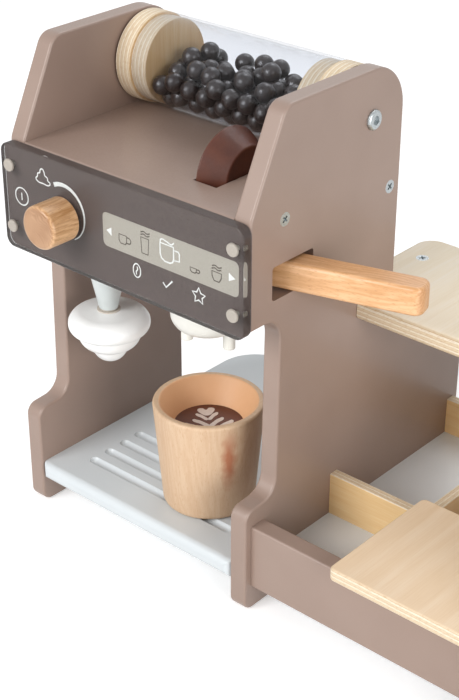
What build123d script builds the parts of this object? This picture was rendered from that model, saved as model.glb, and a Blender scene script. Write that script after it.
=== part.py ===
from build123d import *
from math import dist, hypot, pi
from random import Random
import os

# Toy coffee maker standing at the left end of a small play counter. Millimetres, +Z up, -Y is the
# front. Pieces are drawn with X = 0 midway between the machine's side panels, Y = 0 just behind the
# front of their feet and Z = 0 on the ground, then moved so that the origin is the bottom centre of
# the whole.

# ---------------------------------------------------------------- driving dimensions
boardThickness = 12.0
boardEdgeRadius = 1.5        # softened edges of the painted boards
restGap = 0.05               # under loose pieces that rest on the machine
runningClearance = 0.06      # radial, a shaft turning in its hole
slideGap = 0.4               # between faces that pass each other
notchGap = 0.3               # between the counter top and the panel it is notched round
dowelRadius = 3.0
dowelReach = 5.5             # into the side panel
dowelLength = 22.0
trayDowelFrontY = 40.0
trayDowelMidY = 108.0
trayDowelRearY = 180.0
shelfDowelFrontY = 26.0
shelfDowelRearY = 68.0
railDowelSpread = 20.0       # between the two dowels at each end of the rail

# machine body
bodyWidth = 186.2
bodyHeight = 309.0
headDepth = 132.6
headFrontY = 1.0
headUndersideZ = 187.5
footFrontY = -1.5
footTopZ = 70.1
footShoulderRadius = 7.5
footHollowRadius = 12.0      # hollow corner between the foot and the neck
neckFootY = 25.0
neckFootZ = 71.7
neckTopY = 26.9              # the neck leans back a little
headHollowRadius = 13.0      # hollow corner between the neck and the underside of the head
browStartZ = 252.1           # where the front edge starts to lean back
browEndY = 28.8
browRadius = 10.0
crownRadius = 28.0           # rear top corner of the side panels
footCornerRadius = 7.0
smallCornerRadius = 2.0
topBoardZ = 251.4
rearRailHeight = 36.0
rearRailBackGap = 3.3
shelfDepth = 78.0
shelfSetback = 1.5           # from the head's front edge

# counter wing on the right
counterDepth = 215.0
counterClearWidth = 159.0    # between the right side panel and the end panel
counterHeight = 158.1        # underside of the counter top
trayTopZ = 30.8
trayFrontY = -2.2
trayRearY = 207.0
trayNoseRadius = 4.5
trayFrontCornerRadius = 5.0
trayRearCornerRadius = 30.0
grooveCount = 4
groovePitch = 13.9
grooveFirstY = 23.0
grooveWidth = 7.0
grooveLength = 122.0
grooveDepth = 2.5
railFrontY = 3.3
railBottomZ = 16.6
railTopZ = 59.3
plywoodThin = 7.0
rearDividerTopZ = 56.1
frontDividerY = 77.5
rearDividerY = 203.0
crossDividerX = 158.0
servingPlateLeftX = 156.5
servingPlateFrontY = -5.9
servingPlateDepth = 90.5
servingPlateThickness = 8.0
servingPlateCornerRadius = 4.0
counterTopThickness = 11.5
counterTopFrontY = 96.5
counterTopRearY = 200.7
counterTopLeftX = 70.6
counterTopCornerRadius = 13.0
counterTopEdgeRadius = 3.5
endPanelShoulderZ = 111.1

# control panel
fasciaOverhang = 1.2          # past the side panels at each side
fasciaBottomZ = 184.9
fasciaTopZ = 251.3
fasciaThickness = 7.2        # with the printed layer on its back
fasciaCornerRadius = 6.0
fasciaEdgeRadius = 0.8
printThickness = 0.4
printMargin = 1.0            # held in from the clear front's edges
fasciaScrewLowZ = 199.3
fasciaScrewHighZ = 238.1
fasciaScrewHeadRadius = 3.9
fasciaScrewHeadHeight = 1.5
fasciaScrewRadius = 1.6
fasciaScrewLength = 22.0

# selector knob
knobX = -41.7
knobZ = 217.9
knobRadius = 13.2
knobLength = 20.6
knobEdgeRadius = 2.6
knobBoltRadius = 2.5
knobBoltGrip = 13.0          # length inside the knob
knobBoltHeadRadius = 4.5
knobBoltHeadHeight = 3.0
knobWasherRadius = 6.5
knobWasherThickness = 1.0

# bean hopper
hopperY = 104.0
hopperZ = 280.1
hopperRadius = 28.0
hopperWall = 1.5
hopperSideGap = 1.4          # beside each side panel
capThickness = 11.5
plugThickness = 12.0
plugClearance = 0.05
tubeEndGap = 0.4
hopperBoltRadius = 3.0
hopperBoltHeadRadius = 6.0
hopperBoltHeadHeight = 2.2
hopperBoltGrip = 18.0
hopperBoltSocketRadius = 2.9
hopperBoltSocketDepth = 1.5
beanRadius = 6.0
beanGap = 0.15               # air between neighbouring beans
beanShare = 0.33             # of the tube's room, taken by the beans themselves
beanSeed = 1
settlingSteps = 500
settlingFall = 0.25          # of each bean in the first step

# grinder wheel in the top board
wheelX = 38.6
wheelY = 53.2
wheelZ = 248.2
wheelThickness = 16.0
wheelRadius = 27.2
wheelSmallRadius = 18.6
wheelEdgeRadius = 1.6
wheelSlotGap = 0.6
wheelPinRadius = 1.5
wheelPinTail = 8.0           # beyond the slot on its left

# cream nozzle and cream
nozzleX = -45.0
groupY = 29.1
nozzleTopRadius = 15.0
nozzleTipRadius = 5.8
nozzleTipZ = 145.2
nozzleTenonRadius = 6.0
padThickness = 0.55
padGap = 0.1
creamPadRadius = 7.2
creamHeight = 35.3
creamRadius = 25.2           # widest circle of the top tier
creamRimDrop = 6.8           # down to that circle
creamCollarRadius = 16.5
creamCollarDrop = 1.0
creamWaistRadii = (20.5, 12.4)
creamWaistDrops = (14.9, 25.5)
creamCrease = 0.7            # step inward at each waist
creamShoulderBulge = 1.7
creamTierBulge = 2.2
creamTipFullness = 0.75      # 1 is a square-shouldered tip

# portafilter
filterX = 40.2
filterY = 25.7
filterAngle = 16.0           # handle direction at rest, from +X towards +Y
filterRadius = 21.7
filterBottomZ = 163.1
filterBottomRadius = 10.0
filterTopGap = 0.5
spoutRadius = 3.6
spoutSpacing = 27.0
spoutLength = 10.9
spoutTenon = 7.0
handleWidth = 16.8
handleHeight = 17.0
handleBottomZ = 201.4
handleLength = 129.4         # from the pivot to the tip
handleButt = 10.0            # behind the pivot
handleEdgeRadius = 2.6
handleTipRadius = 6.0
spindleRadius = 5.0
spindleGrip = 12.0           # inside the bowl
thrustWasherRadius = 11.0
thrustWasherGap = 0.05
handleSlotFrontY = 19.0
handleSlotRearY = 54.0
handleSlotBottomZ = 199.7
handleSlotTopZ = 220.1
handleSlotCornerRadius = 2.0

# cup
cupX = 25.0
cupY = 42.8
cupHeight = 70.0
cupRimRadius = 34.5
cupBaseRadius = 28.6
cupBaseEdgeRadius = 3.5
cupMouthRadius = 30.1
coffeeRadius = 21.4
coffeeDepth = 16.7           # from the rim down to the coffee
coffeeThickness = 3.0

# screws
screwRadius = 2.0
screwHeadRadius = 4.0
screwHeadDepth = 2.6
screwLength = 32.0
screwRecessLength = 4.4
screwRecessWidth = 1.1
screwRecessDepth = 1.4
sideScrewFrontY = 28.8
sideScrewRearZ = 234.1
counterScrewFrontY = 115.0
counterScrewRearY = 171.0

# ---------------------------------------------------------------- places worked out from them
innerX = bodyWidth / 2 - boardThickness
outerX = bodyWidth / 2
endPanelX = outerX + counterClearWidth
counterRightX = endPanelX + boardThickness
topBoardBottomZ = topBoardZ - boardThickness
topBoardMidZ = topBoardZ - boardThickness / 2
rearRailY = headDepth - rearRailBackGap - boardThickness
rearRailMidY = rearRailY + boardThickness / 2
shelfTopZ = headUndersideZ + boardThickness
trayBottomZ = trayTopZ - boardThickness
trayMidZ = trayTopZ - boardThickness / 2
shelfMidZ = headUndersideZ + boardThickness / 2
railMidZ = (railBottomZ + railTopZ) / 2
fasciaWidth = bodyWidth + 2 * fasciaOverhang
fasciaScrewX = (bodyWidth - boardThickness) / 2    # on the side panels' centre lines
fasciaBackY = headFrontY - printThickness
fasciaFrontY = headFrontY - fasciaThickness
creamTopZ = nozzleTipZ - 2 * padThickness - padGap
cupBottomZ = trayTopZ


# ---------------------------------------------------------------- shared shapes
def slab(plane, corners, thickness):
    """Board whose outline runs through (a, b, corner radius) points on a plane."""
    points = [(a, b) for a, b, radius in corners]
    path = FilletPolyline(*points, radius=[radius for a, b, radius in corners], close=True)
    return extrude(plane * make_face(path), amount=thickness, dir=plane.z_dir)


def boxBetween(low, high):
    """Box between two opposite corners."""
    size = [b - a for a, b in zip(low, high)]
    return Pos(*low) * Box(*size, align=Align.MIN)


def rod(start, direction, radius, length):
    """Cylinder from a start point along a direction."""
    standing = (Align.CENTER, Align.CENTER, Align.MIN)
    return Plane(origin=start, z_dir=direction) * Cylinder(radius, length, align=standing)


def turned(base, corners):
    """Turned piece: an outline of (radius, height, corner radius) points spun about a plane's normal."""
    points = [(radius, height) for radius, height, rounding in corners]
    path = FilletPolyline(*points, radius=[rounding for radius, height, rounding in corners], close=True)
    return base.location * revolve(Plane.XZ * make_face(path), Axis.Z)


def softened(board, axis, radius):
    """Board with the edges of its two broad faces, square to an axis, rounded."""
    return fillet(board.faces().filter_by(axis).edges(), radius)


def bothSides(makePiece):
    """The same piece on the left (-1) and on the right (+1)."""
    return [makePiece(side) for side in (-1, 1)]


def crossRecess(tip, inward):
    """Cross-shaped drive recess of a countersunk head."""
    base = Plane(origin=tip, z_dir=inward)
    arms = [Box(screwRecessLength, screwRecessWidth, screwRecessDepth * 2),
            Box(screwRecessWidth, screwRecessLength, screwRecessDepth * 2)]
    return base * Rot(0, 0, 45) * (arms[0] + arms[1])


def driven(places):
    """Countersunk screws with their drive recesses."""
    return [countersunkScrew(*place) - crossRecess(*place) for place in places]


def countersunkScrew(tip, inward):
    """Screw whose flat head is flush at its start point, running inward."""
    base = Plane(origin=tip, z_dir=inward)
    head = turned(base, [(0, 0, 0), (screwHeadRadius, 0, 0), (screwRadius, screwHeadDepth, 0),
                         (0, screwHeadDepth, 0)])
    return head + rod(tip, inward, screwRadius, screwLength)


def dowel(joint, inward):
    """Dowel across a butt joint: its short end in the side panel, its long end in the board."""
    start = Vector(*joint) - Vector(*inward) * dowelReach
    return rod(start, inward, dowelRadius, dowelLength)


def cut(piece, tools):
    """Piece less the fasteners that pass through it."""
    for tool in tools:
        piece = piece - tool
    return piece


# ---------------------------------------------------------------- fasteners, which also cut their holes
def sideScrewPlaces():
    """Head and direction of each screw through a side panel into the top board or the rear rail."""
    rows = [(sideScrewFrontY, topBoardMidZ), (rearRailMidY, sideScrewRearZ)]
    return [((side * outerX, y, z), (-side, 0, 0)) for y, z in rows for side in (-1, 1)]


def counterScrewPlaces():
    """Head and direction of each screw down through the counter top into the panel under it."""
    spots = [(outerX - boardThickness / 2, counterScrewRearY)]
    spots += [(counterRightX - boardThickness / 2, y) for y in (counterScrewFrontY, counterScrewRearY)]
    return [((x, y, counterHeight + counterTopThickness), (0, 0, -1)) for x, y in spots]


def bodyDowels():
    """Dowels that join the tray and the inner shelf to the side panels."""
    rows = [(trayDowelFrontY, trayMidZ), (trayDowelMidY, trayMidZ)]
    rows += [(shelfDowelFrontY, shelfMidZ), (shelfDowelRearY, shelfMidZ)]
    pieces = [dowel((side * innerX, y, z), (-side, 0, 0)) for y, z in rows for side in (-1, 1)]
    return pieces + [dowel((innerX, trayDowelRearY, trayMidZ), (-1, 0, 0))]


def counterDowels():
    """Dowels that join the counter's rail and floor to the panels at its two ends."""
    rows = [(railFrontY + boardThickness / 2, railMidZ - railDowelSpread / 2)]
    rows += [(railFrontY + boardThickness / 2, railMidZ + railDowelSpread / 2)]
    rows += [(trayDowelMidY - railDowelSpread, trayMidZ), (trayDowelRearY - railDowelSpread, trayMidZ)]
    ends = [(outerX, 1), (endPanelX, -1)]
    return [dowel((x, y, z), (way, 0, 0)) for y, z in rows for x, way in ends]


def fasciaScrew(x, z):
    """Flat capped screw that holds the clear front to a side panel's front edge."""
    base = Plane(origin=(x, fasciaFrontY, z), z_dir=(0, -1, 0))
    height = fasciaScrewHeadHeight
    cap = turned(base, [(0, 0, 0), (fasciaScrewHeadRadius, 0, 0),
                        (fasciaScrewHeadRadius, height, height / 2), (0, height, 0)])
    return cap + rod((x, fasciaFrontY, z), (0, 1, 0), fasciaScrewRadius, fasciaScrewLength)


def fasciaScrews():
    heights = (fasciaScrewLowZ, fasciaScrewHighZ)
    return [fasciaScrew(side * fasciaScrewX, z) for side in (-1, 1) for z in heights]


# ---------------------------------------------------------------- machine body
def frontProfile():
    """Front and top of a side panel: foot, neck, overhanging head, leaning brow and round crown."""
    foot = [(footFrontY, 0, footCornerRadius), (footFrontY, footTopZ, footShoulderRadius)]
    neck = [(neckFootY, neckFootZ, footHollowRadius), (neckTopY, headUndersideZ, headHollowRadius)]
    head = [(headFrontY, headUndersideZ, smallCornerRadius), (headFrontY, browStartZ, browRadius),
            (browEndY, bodyHeight, browRadius), (headDepth, bodyHeight, crownRadius)]
    return foot + neck + head


def sidePanel(leftX, rearProfile, fixings):
    """Side panel with softened edges, a bore for the hopper bolt and holes for its fixings."""
    panel = slab(Plane.YZ.offset(leftX), frontProfile() + rearProfile, boardThickness)
    panel = softened(panel, Axis.X, boardEdgeRadius)
    bore = rod((leftX, hopperY, hopperZ), (1, 0, 0), hopperBoltRadius + runningClearance, boardThickness)
    return cut(panel, [bore] + fixings)


def leftSidePanel(fixings):
    return sidePanel(-outerX, [(headDepth, 0, footCornerRadius)], fixings)


def rightSidePanel(fixings):
    """Right panel: it runs on behind the machine as the counter's end, and is slotted for the handle."""
    rear = [(headDepth, counterHeight, 0), (counterDepth, counterHeight, smallCornerRadius),
            (counterDepth, 0, footCornerRadius)]
    slotCorners = [(handleSlotFrontY, handleSlotBottomZ), (handleSlotRearY, handleSlotBottomZ),
                   (handleSlotRearY, handleSlotTopZ), (handleSlotFrontY, handleSlotTopZ)]
    slotOutline = [(y, z, handleSlotCornerRadius) for y, z in slotCorners]
    slot = slab(Plane.YZ.offset(innerX), slotOutline, boardThickness)
    return sidePanel(innerX, rear, fixings) - slot


def trayBoard(fixings):
    """Drip tray: round front nose, one round rear corner and four ball-nosed grooves under the spouts."""
    plan = [(-innerX, trayFrontY, trayFrontCornerRadius), (innerX, trayFrontY, trayFrontCornerRadius),
            (innerX, trayRearY, 0), (-innerX, trayRearY, trayRearCornerRadius)]
    section = [(trayFrontY, trayBottomZ, trayNoseRadius), (trayRearY, trayBottomZ, 0),
               (trayRearY, trayTopZ, 0), (trayFrontY, trayTopZ, trayNoseRadius)]
    board = slab(Plane.XY.offset(trayBottomZ), plan, boardThickness)
    board = board & slab(Plane.YZ.offset(-innerX), section, 2 * innerX)
    cutterRadius = (grooveWidth ** 2 / 4 + grooveDepth ** 2) / (2 * grooveDepth)
    cutterZ = trayTopZ - grooveDepth + cutterRadius
    straight = grooveLength - grooveWidth
    for index in range(grooveCount):
        y = grooveFirstY + index * groovePitch
        cutter = rod((-straight / 2, y, cutterZ), (1, 0, 0), cutterRadius, straight)
        for end in (-straight / 2, straight / 2):
            cutter = cutter + Pos(end, y, cutterZ) * Sphere(cutterRadius)
        board = board - cutter
    return cut(board, fixings)


def topBoard(fixings):
    """Board over the head, slotted for the grinder wheel."""
    low = (-innerX, headFrontY, topBoardBottomZ)
    board = boxBetween(low, (innerX, rearRailY, topBoardZ))
    frontEdge = board.edges().filter_by(Axis.X).group_by(Axis.Z)[-1].sort_by(Axis.Y)[0]
    board = fillet(frontEdge, boardEdgeRadius)
    halfWide = wheelThickness / 2 + wheelSlotGap
    halfLong = wheelRadius + wheelSlotGap
    slot = boxBetween((wheelX - halfWide, wheelY - halfLong, topBoardBottomZ),
                      (wheelX + halfWide, wheelY + halfLong, topBoardZ))
    return cut(board, [slot, wheelPin()] + fixings)


def rearRail(fixings):
    low = (-innerX, rearRailY, topBoardZ - rearRailHeight)
    return cut(boxBetween(low, (innerX, rearRailY + boardThickness, topBoardZ)), fixings)


def innerShelf(fixings):
    """Hidden shelf in the head: the cream nozzle is glued into it and the portafilter turns in it."""
    frontY = headFrontY + shelfSetback
    board = boxBetween((-innerX, frontY, headUndersideZ), (innerX, frontY + shelfDepth, shelfTopZ))
    boreRadius = spindleRadius + runningClearance
    spindleBore = rod((filterX, filterY, headUndersideZ), (0, 0, 1), boreRadius, boardThickness)
    tenonBore = rod((nozzleX, groupY, headUndersideZ), (0, 0, 1), nozzleTenonRadius, boardThickness)
    return cut(board, [spindleBore, tenonBore] + fixings)


# ---------------------------------------------------------------- control panel and knob
def fasciaOutline(halfWidth, low, high, rounding):
    return [(-halfWidth, low, rounding), (halfWidth, low, rounding), (halfWidth, high, rounding),
            (-halfWidth, high, rounding)]


def fascia():
    """Clear acrylic front with round corners, bored for its screws and the knob's bolt."""
    outline = fasciaOutline(fasciaWidth / 2, fasciaBottomZ, fasciaTopZ, fasciaCornerRadius)
    sheet = slab(Plane.XZ.offset(-fasciaBackY), outline, fasciaBackY - fasciaFrontY)
    return cut(softened(sheet, Axis.Y, fasciaEdgeRadius), [fasciaBore()] + fasciaScrews())


def fasciaBore():
    """Running bore for the knob's bolt through the clear front and its printed layer."""
    return rod((knobX, headFrontY, knobZ), (0, -1, 0), knobBoltRadius + runningClearance, fasciaThickness)


def fasciaPrint():
    """Printed layer on the back of the clear front, held in from its edges."""
    outline = fasciaOutline(fasciaWidth / 2 - printMargin, fasciaBottomZ + printMargin,
                            fasciaTopZ - printMargin, fasciaCornerRadius - printMargin)
    layer = slab(Plane.XZ.offset(-headFrontY), outline, printThickness)
    return cut(layer, [fasciaBore()] + fasciaScrews())


def knob():
    """Turned beech knob with a blind hole for its bolt."""
    base = Plane(origin=(knobX, fasciaFrontY - slideGap, knobZ), z_dir=(0, -1, 0))
    return turned(base, [(knobBoltRadius, 0, 0), (knobRadius, 0, knobEdgeRadius / 2),
                         (knobRadius, knobLength, knobEdgeRadius), (0, knobLength, 0),
                         (0, knobBoltGrip, 0), (knobBoltRadius, knobBoltGrip, 0)])


def knobWasher():
    washerY = headFrontY + thrustWasherGap
    ring = rod((knobX, washerY, knobZ), (0, 1, 0), knobWasherRadius, knobWasherThickness)
    return ring - knobBolt()


def knobBolt():
    """Pan-head screw that comes through the clear front from behind and carries the knob."""
    headY = headFrontY + thrustWasherGap + knobWasherThickness
    tipY = fasciaFrontY - slideGap - knobBoltGrip
    shank = rod((knobX, tipY, knobZ), (0, 1, 0), knobBoltRadius, headY - tipY)
    base = Plane(origin=(knobX, headY, knobZ), z_dir=(0, 1, 0))
    head = turned(base, [(0, 0, 0), (knobBoltHeadRadius, 0, 0),
                         (knobBoltHeadRadius, knobBoltHeadHeight, knobBoltHeadHeight / 2),
                         (0, knobBoltHeadHeight, 0)])
    return shank + head


# ---------------------------------------------------------------- bean hopper
flangeOuterX = innerX - hopperSideGap
flangeInnerX = flangeOuterX - capThickness
plugInnerX = flangeInnerX - plugThickness
tubeHalfLength = flangeInnerX - tubeEndGap
tubeInnerRadius = hopperRadius - hopperWall


def hopperTube():
    """Clear tube over the two plugs."""
    start = (-tubeHalfLength, hopperY, hopperZ)
    tube = rod(start, (1, 0, 0), hopperRadius, 2 * tubeHalfLength)
    return tube - rod(start, (1, 0, 0), tubeInnerRadius, 2 * tubeHalfLength)


def hopperDisc(side, nearX, thickness, radius):
    """Plywood disc of the hopper's end, its edges just broken, drilled from outside for the bolt."""
    base = Plane(origin=(side * nearX, hopperY, hopperZ), z_dir=(side, 0, 0))
    edge = boardEdgeRadius / 3
    disc = turned(base, [(0, 0, 0), (radius, 0, edge), (radius, thickness, edge), (0, thickness, 0)])
    return disc - hopperBolt(side)


def hopperFlange(side):
    return hopperDisc(side, flangeInnerX, capThickness, hopperRadius)


def hopperPlug(side):
    return hopperDisc(side, plugInnerX, plugThickness, tubeInnerRadius - plugClearance)


def hopperBolt(side):
    """Domed bolt through the side panel, fixed in the hopper's end: the pair is its axle."""
    headX = outerX + thrustWasherGap
    base = Plane(origin=(side * headX, hopperY, hopperZ), z_dir=(side, 0, 0))
    head = turned(base, [(0, 0, 0), (hopperBoltHeadRadius, 0, 0),
                         (hopperBoltHeadRadius, hopperBoltHeadHeight, hopperBoltHeadHeight * 0.8),
                         (0, hopperBoltHeadHeight, 0)])
    return head + rod((side * headX, hopperY, hopperZ), (-side, 0, 0), hopperBoltRadius,
                      headX - flangeOuterX + hopperBoltGrip)


def socketedBolt(side):
    """Hopper bolt with the hexagon socket in its head."""
    top = outerX + thrustWasherGap + hopperBoltHeadHeight
    mouth = Plane(origin=(side * top, hopperY, hopperZ), z_dir=(-side, 0, 0))
    hexagon = RegularPolygon(hopperBoltSocketRadius, 6)
    return hopperBolt(side) - extrude(mouth * hexagon, amount=hopperBoltSocketDepth)


def settledBeans():
    """Centres of the loose beans, scattered in the tube and let fall until they lie on one another."""
    chance = Random(beanSeed)
    apart = 2 * beanRadius + beanGap
    reach = plugInnerX - beanRadius - beanGap
    wall = tubeInnerRadius - beanRadius - beanGap
    room = 2 * plugInnerX * pi * tubeInnerRadius ** 2
    count = int(beanShare * room / (4 / 3 * pi * beanRadius ** 3))
    beans = [[chance.uniform(-reach, reach), chance.uniform(-wall, wall), chance.uniform(-wall, wall)]
             for index in range(count)]
    for step in range(settlingSteps):
        fall = settlingFall * max(0, 1 - 1.3 * step / settlingSteps)
        for index, bean in enumerate(beans):
            bean[2] -= fall
            for other in beans[:index]:
                pushApart(bean, other, apart)
        for bean in beans:
            bean[0] = max(-reach, min(reach, bean[0]))
            inward = min(1, wall / hypot(bean[1], bean[2]))
            bean[1:] = [bean[1] * inward, bean[2] * inward]
    return beans


def pushApart(one, other, apart):
    """Move two centres away from each other until they are a given distance apart."""
    distance = dist(one, other)
    if distance < apart:
        share = (apart - distance) / 2 / distance
        for axis in range(3):
            push = (one[axis] - other[axis]) * share
            one[axis] += push
            other[axis] -= push


def coffeeBeans():
    """Round beans in a loose heap that fills a little over half of the tube."""
    return [Pos(x, hopperY + y, hopperZ + z) * Sphere(beanRadius) for x, y, z in settledBeans()]


# ---------------------------------------------------------------- grinder wheel
def grinderWheel():
    """Bevelled wooden wheel standing half out of the top board, free on its pin."""
    base = Plane(origin=(wheelX - wheelThickness / 2, wheelY, wheelZ), z_dir=(1, 0, 0))
    bore = wheelPinRadius + runningClearance
    return turned(base, [(bore, 0, 0), (wheelRadius, 0, wheelEdgeRadius / 2),
                         (wheelSmallRadius, wheelThickness, wheelEdgeRadius), (bore, wheelThickness, 0)])


def wheelPin():
    """Steel pin pushed in from the top board's right end, through the wheel."""
    tipX = wheelX - wheelThickness / 2 - wheelSlotGap - wheelPinTail
    return rod((tipX, wheelY, wheelZ), (1, 0, 0), wheelPinRadius, innerX - tipX)


# ---------------------------------------------------------------- cream nozzle and cream
def creamNozzle():
    """Turned cone under the shelf, with the tenon that is glued into it."""
    base = Plane(origin=(nozzleX, groupY, nozzleTipZ), z_dir=(0, 0, 1))
    length = headUndersideZ - nozzleTipZ
    tenonTop = length + boardThickness
    return turned(base, [(0, 0, 0), (nozzleTipRadius, 0, boardEdgeRadius / 2),
                         (nozzleTopRadius, length, 0), (nozzleTenonRadius, length, 0),
                         (nozzleTenonRadius, tenonTop, 0), (0, tenonTop, 0)])


def gripPad(bottomZ, radius):
    """One half of a hook-and-loop pair."""
    return rod((nozzleX, groupY, bottomZ), (0, 0, 1), radius, padThickness)


def bulge(start, end, rise):
    """Curve between two points that stands off its chord, on the left going from start to end."""
    (ra, za), (rb, zb) = start, end
    chord = hypot(rb - ra, zb - za)
    control = ((ra + rb) / 2 - (zb - za) / chord * rise * 2, (za + zb) / 2 + (rb - ra) / chord * rise * 2)
    return Bezier(start, control, end)


def creamSwirl():
    """Whipped cream, tip down: three tiers, each bulging out over the next."""
    shoulder, collar = (creamPadRadius, 0), (creamCollarRadius, -creamCollarDrop)
    rim, tip = (creamRadius, -creamRimDrop), (0, -creamHeight)
    edges = [Line((0, 0), shoulder), Line(shoulder, collar), bulge(collar, rim, creamShoulderBulge)]
    start = rim
    for radius, drop in zip(creamWaistRadii, creamWaistDrops):
        end, step = (radius, -drop), (radius - creamCrease, -drop)
        edges += [bulge(start, end, creamTierBulge), Line(end, step)]
        start = step
    edges += [Bezier(start, (start[0] * creamTipFullness, -creamHeight), tip), Line(tip, (0, 0))]
    return Pos(nozzleX, groupY, creamTopZ) * revolve(Plane.XZ * make_face(edges), Axis.Z)


# ---------------------------------------------------------------- portafilter, drawn with its handle on +X
filterPivot = Location((filterX, filterY, 0), (0, 0, filterAngle))
filterTopZ = headUndersideZ - filterTopGap
spindleTopZ = handleBottomZ + handleHeight * 0.75


def portafilterBowl():
    base = Plane(origin=(0, 0, filterBottomZ), z_dir=(0, 0, 1))
    height = filterTopZ - filterBottomZ
    bowl = turned(base, [(0, 0, 0), (filterRadius, 0, filterBottomRadius),
                         (filterRadius, height, boardEdgeRadius), (0, height, 0)])
    return filterPivot * cut(bowl, [spindleShape()] + spoutShapes())


def spoutShapes():
    spouts = []
    for side in (-1, 1):
        base = Plane(origin=(side * spoutSpacing / 2, 0, filterBottomZ - spoutLength), z_dir=(0, 0, 1))
        length = spoutLength + spoutTenon
        spouts.append(turned(base, [(0, 0, 0), (spoutRadius, 0, boardEdgeRadius / 2),
                                    (spoutRadius, length, 0), (0, length, 0)]))
    return spouts


def portafilterSpouts():
    return [filterPivot * spout for spout in spoutShapes()]


def spindleShape():
    start = filterTopZ - spindleGrip
    return rod((0, 0, start), (0, 0, 1), spindleRadius, spindleTopZ - start)


def portafilterSpindle():
    """Dowel through the shelf that joins the bowl to the handle and turns in the shelf."""
    return filterPivot * spindleShape()


def portafilterHandle():
    """Square beech bar with rounded edges and a rounder tip."""
    half = handleWidth / 2
    outline = [(-handleButt, -half, handleTipRadius), (handleLength, -half, handleTipRadius),
               (handleLength, half, handleTipRadius), (-handleButt, half, handleTipRadius)]
    bar = slab(Plane.XY.offset(handleBottomZ), outline, handleHeight)
    bar = softened(bar, Axis.Z, handleEdgeRadius)
    return filterPivot * (bar - spindleShape())


def thrustWasher():
    """Washer between the shelf and the handle: the portafilter hangs on it."""
    bottom = shelfTopZ + thrustWasherGap
    washer = rod((0, 0, bottom), (0, 0, 1), thrustWasherRadius, handleBottomZ - bottom)
    return filterPivot * (washer - spindleShape())


# ---------------------------------------------------------------- cup
def cup():
    """Turned cup, wider at the rim, with a dished mouth down to the seat of the coffee disc."""
    base = Plane(origin=(cupX, cupY, cupBottomZ + restGap), z_dir=(0, 0, 1))
    seat = cupHeight - coffeeDepth - coffeeThickness
    lip = (cupRimRadius - cupMouthRadius) * 0.4
    return turned(base, [(0, 0, 0), (cupBaseRadius, 0, cupBaseEdgeRadius), (cupRimRadius, cupHeight, lip),
                         (cupMouthRadius, cupHeight, lip), (coffeeRadius, seat + coffeeThickness, 0),
                         (coffeeRadius, seat, 0), (0, seat, 0)])


def coffeeDisc():
    """Printed disc that lies in the cup as its coffee."""
    bottom = cupBottomZ + restGap + cupHeight - coffeeDepth - coffeeThickness
    return rod((cupX, cupY, bottom), (0, 0, 1), coffeeRadius, coffeeThickness)


# ---------------------------------------------------------------- counter wing
def frontRail(fixings):
    high = (endPanelX, railFrontY + boardThickness, railTopZ)
    rail = boxBetween((outerX, railFrontY, railBottomZ), high)
    rail = fillet(rail.edges().filter_by(Axis.X), boardEdgeRadius)
    return cut(rail, fixings)


def counterFloor(fixings):
    low = (outerX, railFrontY + boardThickness, trayBottomZ)
    return cut(boxBetween(low, (endPanelX, counterDepth, trayTopZ)), fixings)


def divider(low, high, along):
    """Thin plywood board standing on the floor, its top edges just broken."""
    board = boxBetween(low, high)
    return fillet(board.edges().filter_by(along).group_by(Axis.Z)[-1], boardEdgeRadius / 2)


def frontDivider():
    high = (endPanelX, frontDividerY + plywoodThin, railTopZ)
    return divider((outerX, frontDividerY, trayTopZ), high, Axis.X)


def rearDivider():
    high = (endPanelX, rearDividerY + plywoodThin, rearDividerTopZ)
    return divider((outerX, rearDividerY, trayTopZ), high, Axis.X)


def crossDivider():
    low = (crossDividerX, frontDividerY + plywoodThin, trayTopZ)
    return divider(low, (crossDividerX + plywoodThin, rearDividerY, railTopZ), Axis.Y)


def servingPlate():
    """Loose plywood plate that lies on the rail and the front divider."""
    left, right = servingPlateLeftX, endPanelX - slideGap
    front, rear = servingPlateFrontY, servingPlateFrontY + servingPlateDepth
    corners = [(left, front), (right, front), (right, rear), (left, rear)]
    outline = [(x, y, servingPlateCornerRadius) for x, y in corners]
    plate = slab(Plane.XY.offset(railTopZ + restGap), outline, servingPlateThickness)
    return softened(plate, Axis.Z, boardEdgeRadius)


def counterTop(fixings):
    """Plywood top of the counter, notched round the machine's right side panel."""
    notchX, notchY = outerX + notchGap, headDepth + notchGap
    corner = counterTopCornerRadius
    outline = [(notchX, counterTopFrontY, 0), (counterRightX, counterTopFrontY, corner),
               (counterRightX, counterTopRearY, corner), (counterTopLeftX, counterTopRearY, corner),
               (counterTopLeftX, notchY, 0), (notchX, notchY, 0)]
    plate = slab(Plane.XY.offset(counterHeight), outline, counterTopThickness)
    rounded = [edge for edge in plate.faces().filter_by(Axis.Z).edges()
               if edge.center().X > notchX + restGap or edge.center().Y > notchY + restGap]
    return cut(fillet(rounded, counterTopEdgeRadius), fixings)


def endPanel(fixings):
    """Panel at the counter's right end, with the machine's own foot."""
    outline = [(footFrontY, 0, footCornerRadius), (footFrontY, footTopZ, footShoulderRadius),
               (counterTopFrontY, endPanelShoulderZ, footHollowRadius),
               (counterTopFrontY, counterHeight, smallCornerRadius),
               (counterDepth, counterHeight, smallCornerRadius), (counterDepth, 0, footCornerRadius)]
    panel = slab(Plane.YZ.offset(endPanelX), outline, boardThickness)
    panel = softened(panel, Axis.X, boardEdgeRadius)
    return cut(panel, fixings)


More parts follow.
